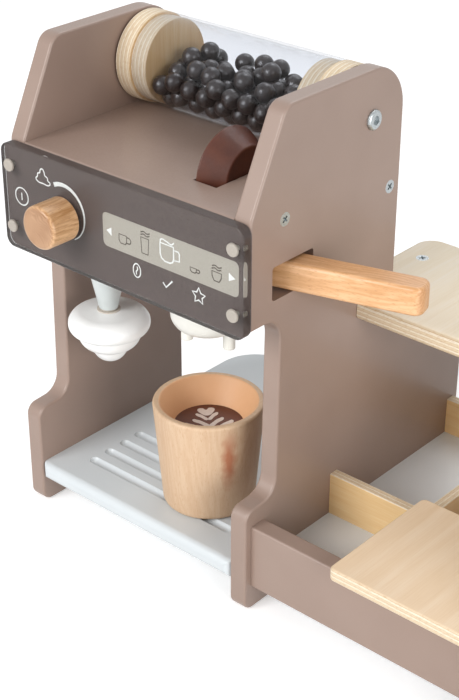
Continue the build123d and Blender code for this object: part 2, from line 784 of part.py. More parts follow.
# ---------------------------------------------------------------- assembly
def buildNodes():
    sides = [countersunkScrew(*place) for place in sideScrewPlaces()]
    tops = [countersunkScrew(*place) for place in counterScrewPlaces()]
    pegs, counterPegs, frontScrews = bodyDowels(), counterDowels(), fasciaScrews()
    return {
        "left_side_panel": leftSidePanel(sides + pegs + frontScrews),
        "right_side_panel": rightSidePanel(sides + tops + pegs + frontScrews + counterPegs),
        "drip_tray_board": trayBoard(pegs),
        "top_board": topBoard(sides),
        "rear_rail": rearRail(sides),
        "inner_shelf": innerShelf(pegs),
        "body_dowels": pegs,
        "side_screws": driven(sideScrewPlaces()),
        "control_panel": fascia(),
        "control_panel_print": fasciaPrint(),
        "control_panel_screws": frontScrews,
        "selector_knob": knob(),
        "knob_bolt": knobBolt(),
        "knob_washer": knobWasher(),
        "hopper_tube": hopperTube(),
        "hopper_flanges": bothSides(hopperFlange),
        "hopper_plugs": bothSides(hopperPlug),
        "hopper_bolts": bothSides(socketedBolt),
        "coffee_beans": coffeeBeans(),
        "grinder_wheel": grinderWheel(),
        "wheel_pin": wheelPin(),
        "cream_nozzle": creamNozzle(),
        "nozzle_pad": gripPad(nozzleTipZ - padThickness, nozzleTipRadius - boardEdgeRadius / 2),
        "cream_pad": gripPad(creamTopZ, creamPadRadius),
        "cream_swirl": creamSwirl(),
        "portafilter_bowl": portafilterBowl(),
        "portafilter_spouts": portafilterSpouts(),
        "portafilter_spindle": portafilterSpindle(),
        "portafilter_handle": portafilterHandle(),
        "thrust_washer": thrustWasher(),
        "cup": cup(),
        "coffee_disc": coffeeDisc(),
        "counter_front_rail": frontRail(counterPegs),
        "counter_floor": counterFloor(counterPegs),
        "counter_front_divider": frontDivider(),
        "counter_rear_divider": rearDivider(),
        "counter_cross_divider": crossDivider(),
        "serving_plate": servingPlate(),
        "counter_top": counterTop(tops),
        "counter_end_panel": endPanel(tops + counterPegs),
        "counter_dowels": counterPegs,
        "counter_screws": driven(counterScrewPlaces()),
    }


def main():
    """Move every piece so that the whole stands centred on the origin, and write one file a node."""
    nodes = {name: ShapeList(pieces).solids() if isinstance(pieces, list) else pieces.solids()
             for name, pieces in buildNodes().items()}
    bounds = Compound([solid for solids in nodes.values() for solid in solids]).bounding_box()
    shift = Location((-bounds.center().X, -bounds.center().Y, -bounds.min.Z))
    print("origin moved by", [round(value, 4) for value in shift.position])
    os.makedirs("parts", exist_ok=True)
    for name, solids in nodes.items():
        moved = [shift * solid for solid in solids]
        export_step(moved[0] if len(moved) == 1 else Compound(children=moved), f"parts/{name}.step")
        print(name, len(moved), "solid(s)")


main()
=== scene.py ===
import math

import bmesh
import bpy
from mathutils import Matrix, Vector


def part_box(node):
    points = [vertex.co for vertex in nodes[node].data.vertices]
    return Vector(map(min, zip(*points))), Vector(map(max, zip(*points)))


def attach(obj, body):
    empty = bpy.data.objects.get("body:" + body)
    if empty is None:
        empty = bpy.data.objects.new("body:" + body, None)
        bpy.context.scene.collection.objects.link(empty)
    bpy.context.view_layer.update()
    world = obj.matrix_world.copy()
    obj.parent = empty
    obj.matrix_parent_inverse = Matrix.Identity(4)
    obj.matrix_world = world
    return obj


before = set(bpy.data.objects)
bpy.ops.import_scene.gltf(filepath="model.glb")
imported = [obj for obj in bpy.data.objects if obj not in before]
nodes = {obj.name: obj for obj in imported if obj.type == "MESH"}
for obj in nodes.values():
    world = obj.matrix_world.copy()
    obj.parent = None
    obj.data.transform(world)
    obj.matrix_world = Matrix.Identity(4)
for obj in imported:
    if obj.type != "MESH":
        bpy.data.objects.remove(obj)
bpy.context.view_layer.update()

mm = 0.001
print("frame loaded:", len(nodes), "nodes")


def linear(hexColour):
    # sRGB hex to the linear values that shader sockets take
    channels = [int(hexColour[i:i + 2], 16) / 255 for i in (0, 2, 4)]
    return tuple(c / 12.92 if c <= 0.04045 else ((c + 0.055) / 1.055) ** 2.4 for c in channels) + (1.0,)


def addNode(owner, kind, inputs=None, stops=None, **settings):
    # one node of a material or world; an input given as another node's output is linked, stops fill a ramp
    node = owner.node_tree.nodes.new(kind)
    for name, value in settings.items():
        setattr(node, name, value)
    for name, value in (inputs or {}).items():
        if isinstance(value, bpy.types.NodeSocket):
            owner.node_tree.links.new(value, node.inputs[name])
        else:
            node.inputs[name].default_value = value
    if stops:
        elements = node.color_ramp.elements
        while len(elements) < len(stops):
            elements.new(0.5)
        for element, (position, hexColour) in zip(elements, stops):
            element.position = position
            element.color = linear(hexColour)
    return node


def newMaterial(name):
    # an empty material with its object coordinates, in metres, and its normals in the same directions
    material = bpy.data.materials.new(name)
    material.use_nodes = True
    material.node_tree.nodes.clear()
    texture = addNode(material, "ShaderNodeTexCoord")
    return material, texture.outputs["Object"], texture.outputs["Normal"]


def closeMaterial(material, inputs):
    shader = addNode(material, "ShaderNodeBsdfPrincipled", inputs)
    addNode(material, "ShaderNodeOutputMaterial", {"Surface": shader.outputs["BSDF"]})
    return material


def dress(material, *names):
    for name in names:
        nodes[name].data.materials.clear()
        nodes[name].data.materials.append(material)


def sprayedPaint(name, dark, light, roughness, cloudSize=70 * mm):
    # satin water-based lacquer sprayed on sanded wood: an even colour that clouds slightly, with the faint
    # orange peel that breaks up its soft reflections and a thin gloss that catches light on round edges
    material, place, _ = newMaterial(name)
    peelSize = 1.1 * mm
    cloud = addNode(material, "ShaderNodeTexNoise", {"Vector": place, "Scale": 1 / cloudSize, "Detail": 3.0})
    peel = addNode(material, "ShaderNodeTexNoise", {"Vector": place, "Scale": 1 / peelSize, "Detail": 2.0})
    colour = addNode(material, "ShaderNodeValToRGB", {"Fac": cloud.outputs["Fac"]},
                     [(0.3, dark), (0.7, light)])
    rough = addNode(material, "ShaderNodeMapRange", {
        "Value": peel.outputs["Fac"], "From Min": 0.3, "From Max": 0.7,
        "To Min": roughness - 0.04, "To Max": roughness + 0.06})
    bump = addNode(material, "ShaderNodeBump", {
        "Height": peel.outputs["Fac"], "Strength": 0.3, "Distance": 0.04 * mm})
    return closeMaterial(material, {
        "Base Color": colour.outputs["Color"], "Roughness": rough.outputs["Result"], "IOR": 1.5,
        "Coat Weight": 0.2, "Coat Roughness": 0.16, "Normal": bump.outputs["Normal"]})


def birchPlywood(name, stack, grain, face, edge, glue, origin):
    # birch plywood under clear lacquer: rotary-cut veneer with long soft figure on its two faces, and on its
    # edges thin plies, side grain and end grain in turn with a fine glue line between them
    material, place, normal = newMaterial(name)
    ply = 1.5 * mm
    lengths = {"pores": (26 * mm, 0.8 * mm), "figure": (110 * mm, 9 * mm), "plies": (1.0, 1.0)}
    stretched = {}
    for use, (long, across) in lengths.items():  # a length along the grain and another across it
        sizes = [long if axis == grain else across for axis in range(3)]
        stretched[use] = addNode(material, "ShaderNodeMapping", {
            "Vector": place, "Location": origin, "Scale": sizes}, vector_type="TEXTURE").outputs[0]
    pores = addNode(material, "ShaderNodeTexNoise", {
        "Vector": stretched["pores"], "Scale": 1.0, "Detail": 3.0, "Roughness": 0.65})
    figure = addNode(material, "ShaderNodeTexNoise", {
        "Vector": stretched["figure"], "Scale": 1.0, "Detail": 3.0, "Distortion": 0.8})
    blend = addNode(material, "ShaderNodeMix", {0: 0.45, 2: figure.outputs["Fac"], 3: pores.outputs["Fac"]})
    faceColour = addNode(material, "ShaderNodeValToRGB", {"Fac": blend.outputs[0]},
                         [(0.34, face[0]), (0.5, face[1]), (0.64, face[2])])
    # plies in pairs, one of each kind, counted through the board and bent slightly by noise
    waver = addNode(material, "ShaderNodeTexNoise", {"Vector": place, "Scale": 1 / (16 * mm), "Detail": 1.0})
    apart = addNode(material, "ShaderNodeSeparateXYZ", {"Vector": stretched["plies"]})
    depth = addNode(material, "ShaderNodeMath", {
        0: waver.outputs["Fac"], 1: 0.5 * mm, 2: apart.outputs[stack]}, operation="MULTIPLY_ADD")
    layers = addNode(material, "ShaderNodeMath", {0: depth.outputs[0], 1: 2 * ply}, operation="DIVIDE")
    within = addNode(material, "ShaderNodeMath", {0: layers.outputs[0]}, operation="FRACT")
    plies = addNode(material, "ShaderNodeValToRGB", {"Fac": within.outputs[0]}, [
        (0.0, glue), (0.06, edge[0]), (0.44, edge[0]), (0.5, glue), (0.56, edge[1]), (0.94, edge[1])])
    # end grain of the crossed plies shows as short flecks along the edge
    fleckSizes = [0.5 * mm if axis == stack else 2.5 * mm for axis in range(3)]
    fleckPlace = addNode(material, "ShaderNodeMapping", {"Vector": place, "Scale": fleckSizes},
                         vector_type="TEXTURE")
    flecks = addNode(material, "ShaderNodeTexNoise", {
        "Vector": fleckPlace.outputs[0], "Scale": 1.0, "Detail": 2.0})
    share = addNode(material, "ShaderNodeMapRange", {
        "Value": flecks.outputs["Fac"], "From Min": 0.5, "From Max": 0.75, "To Min": 0.0, "To Max": 0.5})
    edgeColour = addNode(material, "ShaderNodeMix", {
        0: share.outputs[0], 6: plies.outputs["Color"], 7: linear(glue)}, data_type="RGBA")
    facing = addNode(material, "ShaderNodeSeparateXYZ", {"Vector": normal})
    upright = addNode(material, "ShaderNodeMath", {0: facing.outputs[stack]}, operation="ABSOLUTE")
    onFace = addNode(material, "ShaderNodeMapRange", {
        "Value": upright.outputs[0], "From Min": 0.8, "From Max": 0.94, "To Min": 0.0, "To Max": 1.0})
    colour = addNode(material, "ShaderNodeMix", {
        0: onFace.outputs[0], 6: edgeColour.outputs[2], 7: faceColour.outputs["Color"]}, data_type="RGBA")
    bump = addNode(material, "ShaderNodeBump", {
        "Height": pores.outputs["Fac"], "Strength": 0.3, "Distance": 0.05 * mm})
    return closeMaterial(material, {
        "Base Color": colour.outputs[2], "Roughness": 0.48, "IOR": 1.5, "Normal": bump.outputs["Normal"]})


def lacqueredBeech(name, grain, colours, rings, origin, turn=(0, 0, 0), lean=0.0, endTone="FFFFFF"):
    # steamed beech under thin clear lacquer: close growth rings that read as lines along the grain and as
    # stripes on end grain, fine pores, and dark ray flecks a few millimetres long; end grain drinks more
    # lacquer, so it is toned down by endTone
    material, place, normal = newMaterial(name)
    dark, light, fleck = colours
    lengths = {"drift": (90 * mm, 14 * mm, 0.0), "rings": (1.0, 1.0, lean),
               "pores": (14 * mm, 0.7 * mm, 0.0), "rays": (3.2 * mm, 0.55 * mm, 0.0)}
    stretched = {}
    for use, (long, across, twist) in lengths.items():  # along the grain, across it, and turned about it
        sizes = [long if axis == grain else across for axis in range(3)]
        angles = [turn[axis] + (twist if axis == grain else 0.0) for axis in range(3)]
        stretched[use] = addNode(material, "ShaderNodeMapping", {
            "Vector": place, "Location": origin, "Rotation": angles, "Scale": sizes},
            vector_type="TEXTURE").outputs[0]
    drift = addNode(material, "ShaderNodeTexNoise", {
        "Vector": stretched["drift"], "Scale": 1.0, "Detail": 2.0})
    apart = addNode(material, "ShaderNodeSeparateXYZ", {"Vector": stretched["rings"]})
    bent = addNode(material, "ShaderNodeMath", {
        0: drift.outputs["Fac"], 1: 9 * rings, 2: apart.outputs[(grain + 1) % 3]},
        operation="MULTIPLY_ADD")
    turns = addNode(material, "ShaderNodeMath", {0: bent.outputs[0], 1: math.tau / rings},
                    operation="MULTIPLY")
    wave = addNode(material, "ShaderNodeMath", {0: turns.outputs[0]}, operation="SINE")
    ringShare = addNode(material, "ShaderNodeMapRange", {
        "Value": wave.outputs[0], "From Min": -1.0, "From Max": 1.0, "To Min": 0.3, "To Max": 0.7})
    pores = addNode(material, "ShaderNodeTexNoise", {
        "Vector": stretched["pores"], "Scale": 1.0, "Detail": 3.0, "Roughness": 0.6})
    mixed = addNode(material, "ShaderNodeMix", {0: 0.55, 2: ringShare.outputs[0], 3: pores.outputs["Fac"]})
    drifting = addNode(material, "ShaderNodeMix", {0: 0.35, 2: mixed.outputs[0], 3: drift.outputs["Fac"]})
    base = addNode(material, "ShaderNodeValToRGB", {"Fac": drifting.outputs[0]},
                   [(0.36, dark), (0.62, light)])
    rays = addNode(material, "ShaderNodeTexNoise", {
        "Vector": stretched["rays"], "Scale": 1.0, "Detail": 1.0})
    rayShare = addNode(material, "ShaderNodeMapRange", {
        "Value": rays.outputs["Fac"], "From Min": 0.6, "From Max": 0.72, "To Min": 0.0, "To Max": 0.6})
    colour = addNode(material, "ShaderNodeMix", {
        0: rayShare.outputs[0], 6: base.outputs["Color"], 7: linear(fleck)}, data_type="RGBA")
    facing = addNode(material, "ShaderNodeSeparateXYZ", {"Vector": normal})
    lengthwise = addNode(material, "ShaderNodeMath", {0: facing.outputs[grain]}, operation="ABSOLUTE")
    onEnd = addNode(material, "ShaderNodeMapRange", {
        "Value": lengthwise.outputs[0], "From Min": 0.7, "From Max": 0.95, "To Min": 0.0, "To Max": 1.0})
    toned = addNode(material, "ShaderNodeMix", {
        0: onEnd.outputs[0], 6: colour.outputs[2], 7: linear(endTone)},
        data_type="RGBA", blend_type="MULTIPLY")
    bump = addNode(material, "ShaderNodeBump", {
        "Height": mixed.outputs[0], "Strength": 0.25, "Distance": 0.05 * mm})
    return closeMaterial(material, {
        "Base Color": toned.outputs[2], "Roughness": 0.38, "IOR": 1.5, "Coat Weight": 0.2,
        "Coat Roughness": 0.32, "Normal": bump.outputs["Normal"]})


def turnedCup(name, colours, rings, middle, inside, streak):
    # beech turned to a cup and only sealed, so it shines less: pale outside, deeper in tone on the open grain
    # of the inside wall, with one reddish streak on its right side
    material = lacqueredBeech(name, 2, colours, rings, middle)
    shader = material.node_tree.nodes["Principled BSDF"]
    plain = shader.inputs["Base Color"].links[0].from_socket
    texture = addNode(material, "ShaderNodeTexCoord")
    place = texture.outputs["Object"]
    fromAxis = addNode(material, "ShaderNodeVectorMath", {0: place, 1: middle}, operation="SUBTRACT")
    level = addNode(material, "ShaderNodeVectorMath", {0: fromAxis.outputs[0], 1: (1, 1, 0)},
                    operation="MULTIPLY")
    # a wall that looks at the axis gives less than 0, by its distance from the axis
    outward = addNode(material, "ShaderNodeVectorMath", {0: level.outputs[0], 1: texture.outputs["Normal"]},
                      operation="DOT_PRODUCT")
    onInside = addNode(material, "ShaderNodeMapRange", {
        "Value": outward.outputs["Value"], "From Min": -3 * mm, "From Max": -14 * mm,
        "To Min": 0.0, "To Max": 0.85})
    deeper = addNode(material, "ShaderNodeMix", {0: onInside.outputs[0], 6: plain, 7: linear(inside)},
                     data_type="RGBA")
    # noise moves each point by up to shiftSize, half of which is given back, so the streak has a ragged edge
    shiftSize = 8 * mm
    waver = addNode(material, "ShaderNodeTexNoise", {"Vector": place, "Scale": 1 / (9 * mm), "Detail": 3.0})
    shift = addNode(material, "ShaderNodeVectorMath", {
        0: waver.outputs["Color"], 1: (shiftSize, shiftSize, shiftSize)}, operation="MULTIPLY")
    moved = addNode(material, "ShaderNodeVectorMath", {0: place, 1: shift.outputs[0]})
    spot = [middle[axis] + streak["place"][axis] * mm + shiftSize / 2 for axis in range(3)]
    reach = [size * mm for size in streak["reach"]]
    around = addNode(material, "ShaderNodeMapping", {
        "Vector": moved.outputs[0], "Location": spot, "Scale": reach}, vector_type="TEXTURE")
    near = addNode(material, "ShaderNodeTexGradient", {"Vector": around.outputs[0]},
                   gradient_type="SPHERICAL")
    share = addNode(material, "ShaderNodeMapRange", {
        "Value": near.outputs["Fac"], "From Min": 0.0, "From Max": 0.7, "To Min": 0.0, "To Max": 0.75})
    streaked = addNode(material, "ShaderNodeMix", {
        0: share.outputs[0], 6: deeper.outputs[2], 7: linear(streak["colour"])}, data_type="RGBA")
    material.node_tree.links.new(streaked.outputs[2], shader.inputs["Base Color"])
    shader.inputs["Roughness"].default_value = 0.55
    shader.inputs["Coat Weight"].default_value = 0.05
    return material


def clearSheet(name, tint, edgeShade, shine, gloss, haze):
    # thick cast acrylic, IOR 1.49: what is behind it stays sharp, while its reflection is spread by a fine
    # polishing haze.
    # Its mirror colour is a mid grey, painted shade on its reflection that stands in for a darker room, and
    # its edge faces pass light through a grey tint, painted shade that dims the bright background bent
    # through them. Light on its way to what is behind passes unbent
    material, place, normal = newMaterial(name)
    patches = addNode(material, "ShaderNodeTexNoise", {
        "Vector": place, "Scale": 1 / (12 * mm), "Detail": 2.0})
    rough = addNode(material, "ShaderNodeMapRange", {
        "Value": patches.outputs["Fac"], "From Min": 0.35, "From Max": 0.7,
        "To Min": gloss, "To Max": gloss + haze})
    facing = addNode(material, "ShaderNodeVectorMath", {0: normal, 1: (0, 1, 0)}, operation="DOT_PRODUCT")
    flat = addNode(material, "ShaderNodeMath", {0: facing.outputs["Value"]}, operation="ABSOLUTE")
    shadedEdges = addNode(material, "ShaderNodeMix", {0: flat.outputs[0], 6: linear(edgeShade), 7: linear(tint)},
                   data_type="RGBA")
    through = addNode(material, "ShaderNodeBsdfRefraction", {"Color": shadedEdges.outputs[2], "IOR": 1.49})
    mirror = addNode(material, "ShaderNodeBsdfGlossy", {
        "Color": linear(shine), "Roughness": rough.outputs[0]})
    share = addNode(material, "ShaderNodeFresnel", {"IOR": 1.49})
    sheet = addNode(material, "ShaderNodeMixShader", {
        0: share.outputs[0], 1: through.outputs[0], 2: mirror.outputs[0]})
    passing = addNode(material, "ShaderNodeBsdfTransparent", {"Color": linear(tint)})
    ray = addNode(material, "ShaderNodeLightPath")
    unbent = addNode(material, "ShaderNodeMath", {
        0: ray.outputs["Is Shadow Ray"], 1: ray.outputs["Is Diffuse Ray"]}, use_clamp=True)
    shader = addNode(material, "ShaderNodeMixShader", {
        0: unbent.outputs[0], 1: sheet.outputs[0], 2: passing.outputs[0]})
    addNode(material, "ShaderNodeOutputMaterial", {"Surface": shader.outputs[0]})
    return material


def clearWall(name, tint, headOn, grazing, gloss, haze):
    # acrylic tube with a wall too thin to bend what is seen through it: it mirrors little head on and more at
    # a grazing angle, over faint drawing marks
    material, place, _ = newMaterial(name)
    marks = addNode(material, "ShaderNodeTexNoise", {"Vector": place, "Scale": 1 / (9 * mm), "Detail": 2.0})
    rough = addNode(material, "ShaderNodeMapRange", {
        "Value": marks.outputs["Fac"], "From Min": 0.35, "From Max": 0.7,
        "To Min": gloss, "To Max": gloss + haze})
    turned = addNode(material, "ShaderNodeLayerWeight", {"Blend": 0.5})
    steep = addNode(material, "ShaderNodeMath", {0: turned.outputs["Facing"], 1: 4.0}, operation="POWER")
    share = addNode(material, "ShaderNodeMapRange", {
        "Value": steep.outputs[0], "From Min": 0.0, "From Max": 1.0, "To Min": headOn, "To Max": grazing})
    through = addNode(material, "ShaderNodeBsdfTransparent", {"Color": linear(tint)})
    mirror = addNode(material, "ShaderNodeBsdfGlossy", {"Roughness": rough.outputs[0]})
    wall = addNode(material, "ShaderNodeMixShader", {
        0: share.outputs[0], 1: through.outputs[0], 2: mirror.outputs[0]})
    addNode(material, "ShaderNodeOutputMaterial", {"Surface": wall.outputs[0]})
    return material


def fineGrit(name, dark, light, roughness, grit, metallic=0.0, bumpDepth=0.03):
    # small parts and inks: colour and roughness vary a little over a grit of the given size
    material, place, _ = newMaterial(name)
    speck = addNode(material, "ShaderNodeTexNoise", {"Vector": place, "Scale": 1 / grit, "Detail": 2.0})
    colour = addNode(material, "ShaderNodeValToRGB", {"Fac": speck.outputs["Fac"]},
                     [(0.35, dark), (0.65, light)])
    rough = addNode(material, "ShaderNodeMapRange", {
        "Value": speck.outputs["Fac"], "From Min": 0.3, "From Max": 0.7,
        "To Min": roughness - 0.04, "To Max": roughness + 0.08})
    bump = addNode(material, "ShaderNodeBump", {
        "Height": speck.outputs["Fac"], "Strength": 0.3, "Distance": bumpDepth * mm})
    return closeMaterial(material, {
        "Base Color": colour.outputs["Color"], "Roughness": rough.outputs[0], "Metallic": metallic,
        "Normal": bump.outputs["Normal"]})


# painted boards
paint = {"taupe": ("937D71", "9C867A"), "taupeRoughness": 0.4, "greyTrayDarkForLight": ("CED4D7", "D5DBDE"),
         "greyFloorLightForShade": ("DDE3E8", "E4E9ED"), "greyRoughness": 0.36}
dress(sprayedPaint("taupeLacquer", *paint["taupe"], paint["taupeRoughness"]),
      "left_side_panel", "right_side_panel", "top_board", "rear_rail", "inner_shelf", "counter_front_rail",
      "counter_end_panel")
# one grey paint in two copies: the tray's is darker, as it stands in strong light, and the counter floor's
# lighter, as it lies in the counter's shade; the difference is painted light and shade
dress(sprayedPaint("greyLacquer", *paint["greyTrayDarkForLight"], paint["greyRoughness"]), "drip_tray_board")
dress(sprayedPaint("greyLacquerFloorLightForShade", *paint["greyFloorLightForShade"], paint["greyRoughness"]), "counter_floor")
print("painted boards done")

# plywood: for each piece the axis its plies are stacked along, the axis of its face grain, its face colours
paleFace = ("F3E3C7", "F8EAD1", "FAEEDA")
plateFace = ("E8CCA9", "EDD3B3", "F1DABD")
warmFace = ("EFC68C", "F5D098", "FADAA8")
tanFace = ("E6BA86", "EEC894", "F4D4A6")
plywood = {
    "counter_top": (2, 1, paleFace), "serving_plate": (2, 1, plateFace),
    "counter_front_divider": (1, 0, warmFace), "counter_rear_divider": (1, 0, warmFace),
    "counter_cross_divider": (0, 1, warmFace), "hopper_flanges": (0, 2, tanFace),
    "hopper_plugs": (0, 2, tanFace)}
plywoodEdge = {"edge": ("EBDFC9", "DFCCAD"), "glue": "BC8F5B"}
for name, (stack, grain, face) in plywood.items():
    low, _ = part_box(name)
    dress(birchPlywood("birchPlywood." + name, stack, grain, face, origin=low, **plywoodEdge), name)
print("plywood done")

# solid wood
handleLow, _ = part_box("portafilter_handle")
knobLow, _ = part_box("selector_knob")
cupLow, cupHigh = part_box("cup")
cupMiddle = [(low + high) / 2 for low, high in zip(cupLow, cupHigh)]
handleWood = {"colours": ("CC9560", "E8B98B", "B67C4B"), "rings": 2.4 * mm,
              "turn": (0, 0, math.radians(16)), "endTone": "F0E8E0"}
knobWood = {"colours": ("AB7B4C", "DDB388", "96663E"), "rings": 1.5 * mm, "lean": math.radians(35),
            "endTone": "DED9DC"}
cupWood = {"colours": ("CAA887", "D4B798", "C39A77"), "rings": 7.0 * mm, "inside": "E6B284",
           "streak": {"place": (29.2, -14.2, 9.0), "reach": (6, 6, 26), "colour": "A8552E"}}
dress(lacqueredBeech("handleBeech", 0, origin=handleLow, **handleWood), "portafilter_handle",
      "portafilter_spindle", "body_dowels", "counter_dowels")
dress(lacqueredBeech("knobBeech", 1, origin=knobLow, **knobWood), "selector_knob")
dress(turnedCup("cupBeech", middle=cupMiddle, **cupWood), "cup")
print("solid wood done")

# painted and stained turned wood: material, its two colours and its roughness
turnedPaint = {
    "cream_swirl": ("whiteLacquer", "EDEEED", "F3F4F3", 0.34),
    "cream_nozzle": ("paleGreyLacquer", "C3C9C8", "CBD1D0", 0.36),
    # the bowl's cream white is darker than the same paint on the spouts: painted shade for the head that
    # hangs over it
    "portafilter_bowl": ("creamWhitePaintedShade", "D5D3CB", "DDDBD4", 0.34),
    "portafilter_spouts": ("creamWhiteSpouts", "DEDCD3", "E6E4DC", 0.34),
    "grinder_wheel": ("brownStain", "4A1C08", "5C2A12", 0.6),
    "coffee_beans": ("beanLacquer", "251D1B", "332A27", 0.3)}
turnedCloud = 12 * mm
for name, (finish, dark, light, roughness) in turnedPaint.items():
    dress(sprayedPaint(finish, dark, light, roughness, turnedCloud), name)
print("turned wood done")

# fasteners, washers, tape and the two clear parts
inks = {"film": ("544643", "5C4E4A"), "display": ("B0A89D", "B6AEA3"), "white": ("F4F3F1", "FBFAF8"),
        "grey": ("574D44", "60564D"), "coffee": ("572A1C", "653623"), "milk": ("D6C9C0", "DED3CB")}
# blue-white plating that mirrors the room softly
zinc = fineGrit("zincPlatedSteel", "A6ACAE", "C0C6C8", 0.28, 0.6 * mm, metallic=1.0)
dress(zinc, "side_screws", "counter_screws", "hopper_bolts", "wheel_pin", "knob_bolt")
# warm grey plastic with the fine grain of its mold
dress(fineGrit("moldedCap", "A49C92", "B0A89E", 0.4, 0.5 * mm), "control_panel_screws")
# milky plastic
dress(fineGrit("nylon", "DEDCD4", "E8E6E0", 0.45, 0.8 * mm), "knob_washer", "thrust_washer")
# matt and fuzzy, with loops about as deep as its grit
dress(fineGrit("hookAndLoopTape", "BDB4A8", "D2CABF", 0.9, 0.4 * mm, bumpDepth=0.2),
      "nozzle_pad", "cream_pad")
# brown print under a satin varnish
dress(fineGrit("printedCoffee", *inks["coffee"], 0.42, 3 * mm), "coffee_disc")
tubeAcrylic = {"tint": "F7F8FA", "headOn": 0.012, "grazing": 0.5, "gloss": 0.06, "haze": 0.03}
# the sheet's shine and edge tint are painted shade: a reflection dimmed to mid grey and edges dimmed below
# the clear tint
sheetAcrylic = {"tint": "F2F4F4", "edgeShade": "D0CDCB", "shine": "BCBCBC", "gloss": 0.3, "haze": 0.06}
dress(clearWall("acrylicTube", **tubeAcrylic), "hopper_tube")
dress(clearSheet("acrylicSheet", **sheetAcrylic), "control_panel")
print("small parts done")


def inkLine(width, points, closed=False, smooth=True, taper=1.0):
    # one printed line in millimetres: a spline with a round section, which thins out to taper at its end
    data = bpy.data.curves.new("line", "CURVE")
    data.dimensions = "3D"
    data.bevel_depth = width / 2
    data.bevel_resolution = 2
    data.use_fill_caps = True
    data.resolution_u = 10
    return curveMesh(data, points, closed, smooth, taper)


def inkFill(points, smooth=False):
    # one printed area in millimetres inside a closed outline
    data = bpy.data.curves.new("area", "CURVE")
    data.dimensions = "2D"
    data.fill_mode = "BOTH"
    data.extrude = 0.5
    data.resolution_u = 10
    return curveMesh(data, points, True, smooth, 1.0)


def curveMesh(data, points, closed, smooth, taper):
    spline = data.splines.new("BEZIER")
    spline.bezier_points.add(len(points) - 1)
    spline.use_cyclic_u = closed
    for index, (knot, (x, y)) in enumerate(zip(spline.bezier_points, points)):
        knot.co = (x, y, 0)
        knot.handle_left_type = knot.handle_right_type = "AUTO" if smooth else "VECTOR"
        knot.radius = 1 + (taper - 1) * index / (len(points) - 1)
    holder = bpy.data.objects.new("holder", data)
    bpy.context.scene.collection.objects.link(holder)
    bpy.context.view_layer.update()
    mesh = bpy.data.meshes.new_from_object(holder.evaluated_get(bpy.context.evaluated_depsgraph_get()))
    bpy.data.objects.remove(holder)
    bpy.data.curves.remove(data)
    return mesh


def printLayer(name, meshes, thickness, placing, material, body):
    # printed lines and areas in one piece: pressed flat, then turned into place
    shape = bmesh.new()
    for mesh in meshes:
        shape.from_mesh(mesh)
        bpy.data.meshes.remove(mesh)
    depth = max(abs(vertex.co.z) for vertex in shape.verts)
    for vertex in shape.verts:
        vertex.co.z *= thickness / 2 / depth
    bmesh.ops.remove_doubles(shape, verts=shape.verts, dist=0.001)
    bmesh.ops.recalc_face_normals(shape, faces=shape.faces)
    bmesh.ops.transform(shape, matrix=placing @ Matrix.Scale(mm, 4), verts=shape.verts)
    mesh = bpy.data.meshes.new(name)
    shape.to_mesh(mesh)
    shape.free()
    mesh.materials.append(material)
    piece = bpy.data.objects.new(name, mesh)
    bpy.context.scene.collection.objects.link(piece)
    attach(piece, body)


def ring(centre, across, high, count=8):
    # points round an ellipse
    angles = [math.tau * index / count for index in range(count)]
    return [(centre[0] + across / 2 * math.cos(angle), centre[1] + high / 2 * math.sin(angle))
            for angle in angles]


def roundBox(left, low, right, high, radius, steps=5):
    # points round a box with round corners
    points = []
    for x, y, start in ((right, high, 0), (left, high, 90), (left, low, 180), (right, low, 270)):
        cx = x - radius if x == right else x + radius
        cy = y - radius if y == high else y + radius
        for step in range(steps):
            angle = math.radians(start + 90 * step / (steps - 1))
            points.append((cx + radius * math.cos(angle), cy + radius * math.sin(angle)))
    return points


